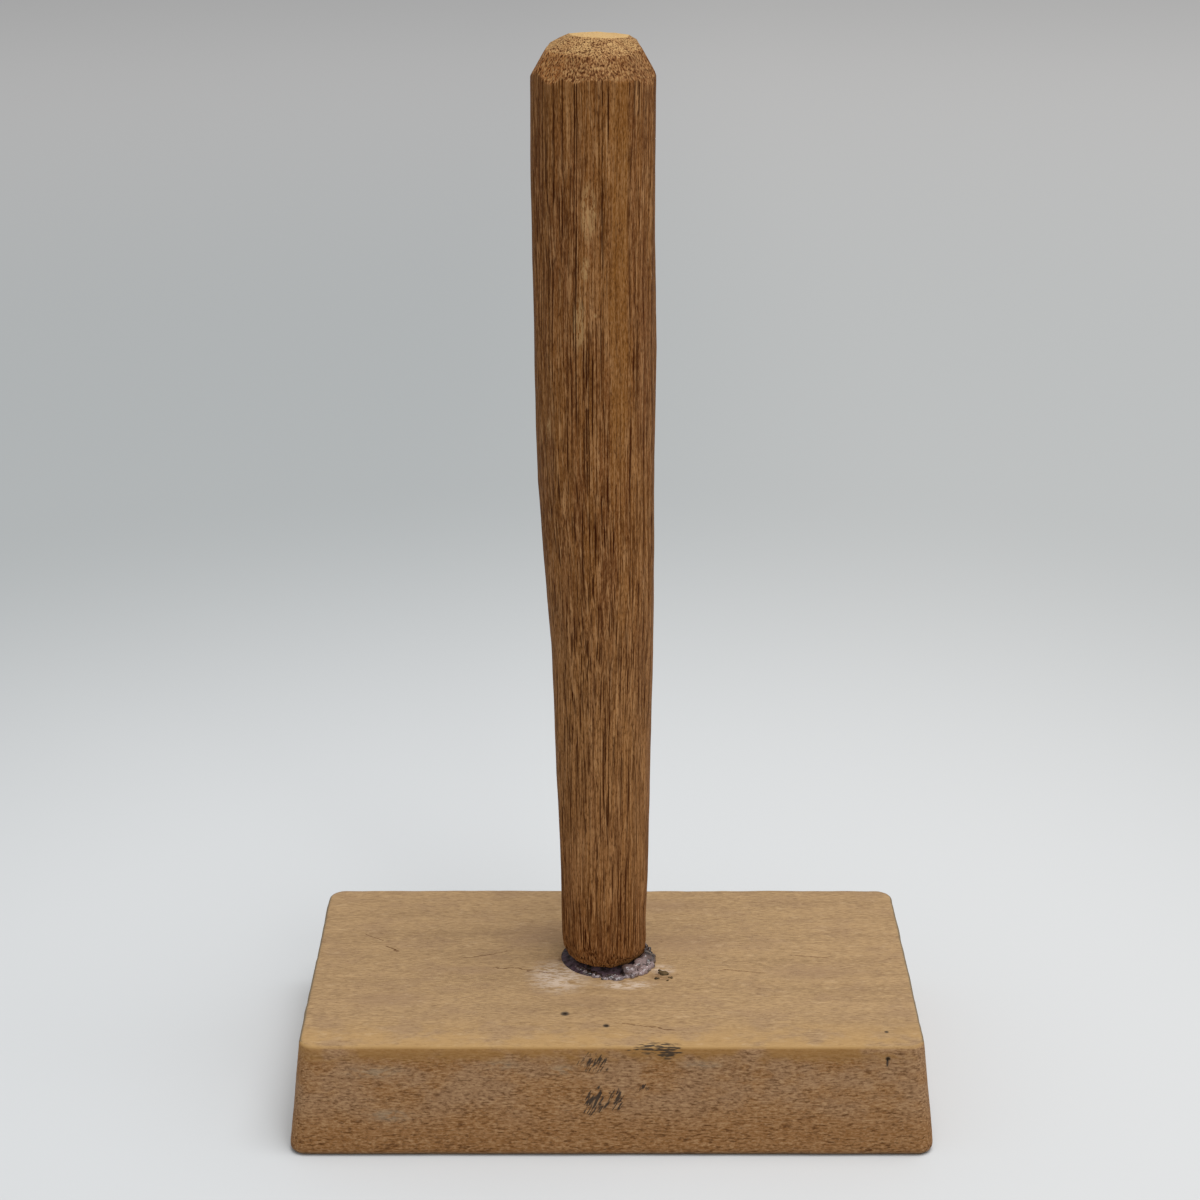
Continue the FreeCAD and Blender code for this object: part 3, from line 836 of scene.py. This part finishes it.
def makeBlockWood():
    tint = blockFinish
    cover = tint["cover"]
    shader = Shader("blockWood", tint)
    place = shader.place()
    x, y, z = shader.split(place)
    drift = shader.lumps(place, "drift", 1.0) - 0.5
    gy, gz = y + drift * tint["drift"], z + drift * tint["drift"]
    grain = shader.join(x, gy, gz)
    fine = shader.lumps(grain, "fine", 2.0, 0.65)
    line = shader.lumps(grain, "line", 2.0, 0.55)
    band = shader.lumps(grain, "band", 2.0)
    cloud = shader.lumps(place, "cloud", 3.0, 0.6)
    mottle = shader.lumps(place, "mottle", 3.0, 0.65)
    dash = shader.lumps(grain, "dash", 3.0, 0.6)
    speck = shader.lumps(place, "speck", 2.0, 0.6)
    nx, ny, nz = shader.facing()
    upward = shader.rise(nz, "upward")
    tone = fine * 0.68 + line * 0.14 + band * 0.18

    # top
    tan = shader.blend(shader.rise(tone, "tanTone"), tint["tanDeep"], tint["tan"])
    tan = shader.blend(shader.rise(cloud, "tanCloud") * cover["tanCloud"], tan, tint["tanMauve"])
    # blotches, two of them beside the post painting its shadow
    blotch = shader.field(place, tint["blotchesAndPostShadow"], 0.85) * (0.15 + mottle * 0.7)
    tan = shader.blend(blotch, tan, tint["tanMauve"])
    gold = shader.rise(y, "frontEdge") * shader.rise(cloud, "goldCloud") * cover["gold"]
    tan = shader.blend(gold, tan, tint["gold"])
    tan = shader.blend(shader.rise(mottle, "cream") * cover["cream"], tan, tint["cream"])
    tan = shader.blend(shader.rise(mottle, "dull") * cover["dull"], tan, tint["fleck"])
    ticks = shader.rise(dash, "ticks") * (0.25 + shader.rise(cloud, "tickCloud") * 0.75)
    tan = shader.blend(ticks * cover["ticks"], tan, tint["fleck"])
    film = shader.field(place, tint["films"], 0.75) * shader.rise(mottle * 0.5 + dash * 0.5, "film")
    tan = shader.blend(film * cover["film"], tan, tint["haze"])
    # painted shadow of the post and of a small dent, in dark patches
    shadowSmear = shader.field(place, tint["shadowSmears"], 0.8) * shader.rise(mottle, "shadowSmear") * cover["shadowSmear"]
    tan = shader.blend(shadowSmear, tan, tint["fleck"])
    end = tint["scratchEnd"]
    for (startX, startY), (endX, endY), half, waver in tint["scratches"]:
        length = math.hypot(endX - startX, endY - startY)
        runX, runY = (endX - startX) / length, (endY - startY) / length
        along = (x - startX) * runX + (y - startY) * runY
        aside = (y - startY) * runX - (x - startX) * runY
        aside = aside + (cloud - 0.5) * waver + (mottle - 0.5) * waver * 0.5
        stroke = shader.step(aside * aside, half * half * 2.5, half * half * 0.3)
        stroke = stroke * shader.step(along, 0, end) * shader.step(along, length, length - end)
        tan = shader.blend(stroke * shader.rise(fine, "scratch") * cover["scratch"], tan, tint["fleck"])

    # sides
    brown = shader.blend(shader.rise(tone, "brownTone"), tint["rustToneAndShade"], tint["brown"])
    mauve = shader.rise(cloud, "mauveCloud") * shader.rise(z, "mauveUp")
    brown = shader.blend(mauve * cover["mauve"], brown, tint["brownMauve"])
    brown = shader.blend(shader.rise(dash, "dashLight") * cover["dashLight"], brown, tint["light"])
    # painted shade: the sides grow darker towards the bottom
    brown = shader.blend(shader.rise(z, "lowShade") * cover["rustToneAndShade"], brown, tint["rustToneAndShade"])
    brown = shader.blend(shader.rise(speck, "speckLight") * cover["speckLight"], brown, tint["light"])
    brown = shader.blend(shader.rise(speck, "speckDark") * cover["speckDark"], brown, tint["fleck"])
    golden = shader.rise(z + (mottle - 0.5) * 5, "goldUp") * shader.rise(cloud, "goldPatch")
    brown = shader.blend(golden * cover["golden"], brown, tint["darkGold"])
    flecks = shader.rise(dash, "flecks") * (0.2 + shader.rise(mottle, "fleckPatch") * 0.8)
    flecks = flecks * (1 - golden * 0.75) * (0.75 + shader.rise(z, "fleckDown") * 0.25)
    brown = shader.blend(flecks * cover["flecks"], brown, tint["fleck"])
    dirty = shader.field(place, tint["patches"], 0.9) * shader.rise(mottle, "dirty")
    brown = shader.blend(dirty * cover["dirty"], brown, tint["grey"])
    # painted shade along the bottom edge, where the block meets the floor
    brown = shader.blend(shader.rise(z, "foot") * cover["foot"], brown, tint["grimeAndShade"])
    wood = shader.blend(upward, brown, tan)

    # arrises: grimy round the ends and the back, pale gold along the front
    rim = shader.rise(nz, "rimSide") * shader.rise(nz, "rimTop")
    front = shader.rise(ny, "front")
    wood = shader.blend(rim * (1 - front) * cover["rimGrime"], wood, tint["grimeAndShade"])
    wood = shader.blend(rim * front * cover["rimGold"], wood, tint["gold"])

    # soot, in slanted strokes low down and level ones near the front arris
    flat, steep = tint["slant"]
    slanted = shader.lumps(shader.join(x * flat + z * steep, y, z * flat - x * steep), "slanted", 2.0, 0.6)
    level = shader.lumps(place, "level", 2.0, 0.6)
    upper = shader.rise(z, "upper") * shader.rise(x, "rightward")
    stroke = slanted * (1 - upper) + level * upper
    mark = shader.field(place, tint["sootMarks"], 0.95)
    soot = shader.rise(mark * 0.62 + (stroke - 0.5) * 2.6, "soot") * shader.rise(mark, "sootNear")
    wood = shader.blend(soot * cover["soot"], wood, tint["soot"])
    wood = shader.blend(shader.field(place, tint["pinStains"], 0.6) * cover["pinStain"], wood, tint["soot"])
    relief = fine * 0.6 + line * 0.4 - flecks * 0.6 - ticks * 0.5 + mottle * 0.3
    shader.set(Base_Color=wood, Roughness=0.64 + flecks * 0.15 - film * 0.15, Specular_IOR_Level=0.1,
               Normal=shader.bump(relief, tint["reliefDepth"]))
    return shader.material


glueFinish = {
    "black": (0.010, 0.006, 0.005),
    "brown": (0.050, 0.028, 0.021),
    "grey": (0.165, 0.122, 0.125),
    # pale: painted glints on the grey glue
    "pale": (0.42, 0.36, 0.37),
    "lilac": (0.30, 0.215, 0.205),
    "plum": (0.060, 0.034, 0.044),
    # the crumbs' two darks: painted shade of a small dent
    "dentShadeDark": (0.030, 0.018, 0.007),
    "dentShadeOlive": (0.110, 0.068, 0.026),
    # the heap on the right and the dark end on the left: middle and reach in mm
    "heap": ((6.2, -3.2, 24.8), (5.6, 5.0, 4.0)),
    "leftEnd": ((-9, 0, 24), (3, 7, 3)),
    "size": {"cloud": (1.3, 1.3, 0.8), "glintFlecks": (0.45, 0.45, 0.45)},
    # where each layer starts and is full
    "level": {"dark": (0.35, 0.6), "grey": (0.32, 0.56), "pale": (0.52, 0.68), "lilac": (0.30, 0.52)},
    "cover": {"pale": 0.8, "lilac": 0.8, "plum": 0.75},
    # each kind: radius where the grey starts in mm, how grey, its two darks, roughness and gloss coat
    "kinds": {"greyGlue": (9.0, 1.0, ("black", "brown"), 0.22, 0.5),
              # the bed's near black is partly dark glue and partly painted shade under the foot
              "darkGlue": (30, 0, ("black", "plum"), 0.55, 0.0),
              # the crumbs' near black is painted shade of a small dent
              "dentShadeCrumbs": (30, 0, ("dentShadeDark", "dentShadeOlive"), 0.8, 0.0)},
}


def makeGlue(name):
    # near black against the foot, partly dark glue and partly painted shade under the foot; grey and glassy
    # towards the outer edge
    tint = glueFinish
    cover = tint["cover"]
    inner, greyness, (darker, dark), roughness, coat = tint["kinds"][name]
    shader = Shader(name, tint)
    place = shader.place()
    x, y, z = shader.split(place)
    cloud = shader.lumps(place, "cloud", 3.0, 0.6)
    glintFlecks = shader.lumps(place, "glintFlecks", 2.0)
    dx, dy = x - glueShape["ringMiddle"][0], y - glueShape["ringMiddle"][1]
    outward = shader.power(dx * dx + dy * dy, 0.5)
    colour = shader.blend(shader.rise(cloud, "dark"), tint[darker], tint[dark])
    outer = shader.step(outward + (cloud - 0.5) * 2.5, inner, inner + 1.0) * greyness
    colour = shader.blend(outer * shader.rise(cloud, "grey"), colour, tint["grey"])
    # painted glints: pale flecks on the grey, glassy glue
    colour = shader.blend(outer * shader.rise(glintFlecks, "pale") * cover["pale"], colour, tint["pale"])
    heap = shader.spot(place, *tint["heap"], 0.8) * greyness
    colour = shader.blend(heap * shader.rise(cloud, "lilac") * cover["lilac"], colour, tint["lilac"])
    purple = shader.spot(place, *tint["leftEnd"], 0.8) * greyness
    colour = shader.blend(purple * cover["plum"], colour, tint["plum"])
    shader.set(Base_Color=colour, Roughness=purple * 0.35 + roughness, Specular_IOR_Level=0.2,
               Coat_Weight=coat - purple * coat, Coat_Roughness=0.06)
    return shader.material


studio = {
    "lens": 81.0,
    "tiltDown": 19.813,
    "eye": (-2.37, -516.8, 292.8),
    "floorSize": 9000,
    "floorRings": 3,
    "ringShare": 0.3,
    # painted light and shade on the floor: its colour changes with the distance from the stand, in mm, darker
    # at middle distances and pale far off, standing for the lamps' light falling off
    "near": (0.575, 0.59, 0.60),
    "mid": (0.380, 0.397, 0.402),
    "far": (0.48, 0.48, 0.48),
    "edge": (0.95, 0.95, 0.95),
    "level": {"mid": (110, 430), "far": (480, 1500), "edge": (2100, 4000), "rightward": (-90, 130)},
    "warm": (0.72, 0.70, 0.675),
    "warmShare": 0.15,
    # lamps: name, place, width in m and power in W, all aimed at the same point
    "lamps": [("topLamp", (0.45, -0.3, 2.6), 1.8, 62), ("frontLamp", (0.8, -2.2, 1.5), 1.0, 9)],
    "aim": (0, 0, 0.1),
    "roomLight": 0.45,
}


def makeFloor():
    shape = studio
    radius = shape["floorSize"] / 2 * mm
    paper = addPrimitive("circle", "paperFloor", vertices=96, radius=radius, fill_type="NGON")
    for number in range(shape["floorRings"]):
        bpy.ops.mesh.inset(thickness=shape["ringShare"] * shape["floorSize"] / 2 * mm)
    tidyMesh()
    shader = Shader("floorPaper", shape)
    place = shader.place()
    x, y, z = shader.split(place)
    # painted light: the floor's colour follows the distance from the stand, standing for the lamps' light
    # falling off
    away = shader.power(x * x + y * y, 0.5)
    colour = shader.blend(shader.rise(away, "mid"), shape["near"], shape["mid"])
    colour = shader.blend(shader.rise(away, "far"), colour, shape["far"])
    colour = shader.blend(shader.rise(away, "edge"), colour, shape["edge"])
    # painted light: the floor is lighter and warmer towards the right
    colour = shader.blend(shader.rise(x, "rightward") * shape["warmShare"], colour, shape["warm"])
    shader.set(Base_Color=colour, Roughness=0.9, Specular_IOR_Level=0.0)
    paper.data.materials.append(shader.material)


def addLamp(name, place, width, power):
    dropSelection()
    bpy.ops.object.light_add(type="AREA", location=place)
    lamp = bpy.context.object
    lamp.name = name
    lamp.rotation_euler = (Vector(studio["aim"]) - Vector(place)).to_track_quat("-Z", "Y").to_euler()
    lamp.data.shape = "SQUARE"
    lamp.data.size = width
    lamp.data.energy = power


def makeStudio():
    for lamp in studio["lamps"]:
        addLamp(*lamp)
    world = bpy.data.worlds.new("room")
    world.use_nodes = True
    world.node_tree.nodes["Background"].inputs["Color"].default_value = (1, 1, 1, 1)
    world.node_tree.nodes["Background"].inputs["Strength"].default_value = studio["roomLight"]
    bpy.context.scene.world = world
    dropSelection()
    eye = [part * mm for part in studio["eye"]]
    bpy.ops.object.camera_add(location=eye, rotation=(math.radians(90 - studio["tiltDown"]), 0, 0))
    camera = bpy.context.object
    camera.data.lens = studio["lens"]
    camera.data.sensor_width = 36
    bpy.context.scene.camera = camera
    bpy.context.scene.view_settings.view_transform = "Standard"


print("making the bat")
bat = makeBat()
print("making the block")
block = makeBlock()
print("making the glue")
bed = makeBed()
collar = makeCollar()
drops = makeDrops()
print("finishing")
finishPiece(bat, "bat", makeBatWood())
finishPiece(block, "base_block", makeBlockWood())
finishPiece(bed, "glue_bed", makeGlue("darkGlue"))
finishPiece(collar, "glue_collar", makeGlue("greyGlue"))
finishPiece(drops, "glue_drops", makeGlue("dentShadeCrumbs"))
print("setting up the floor, the lamps and the camera")
makeFloor()
makeStudio()
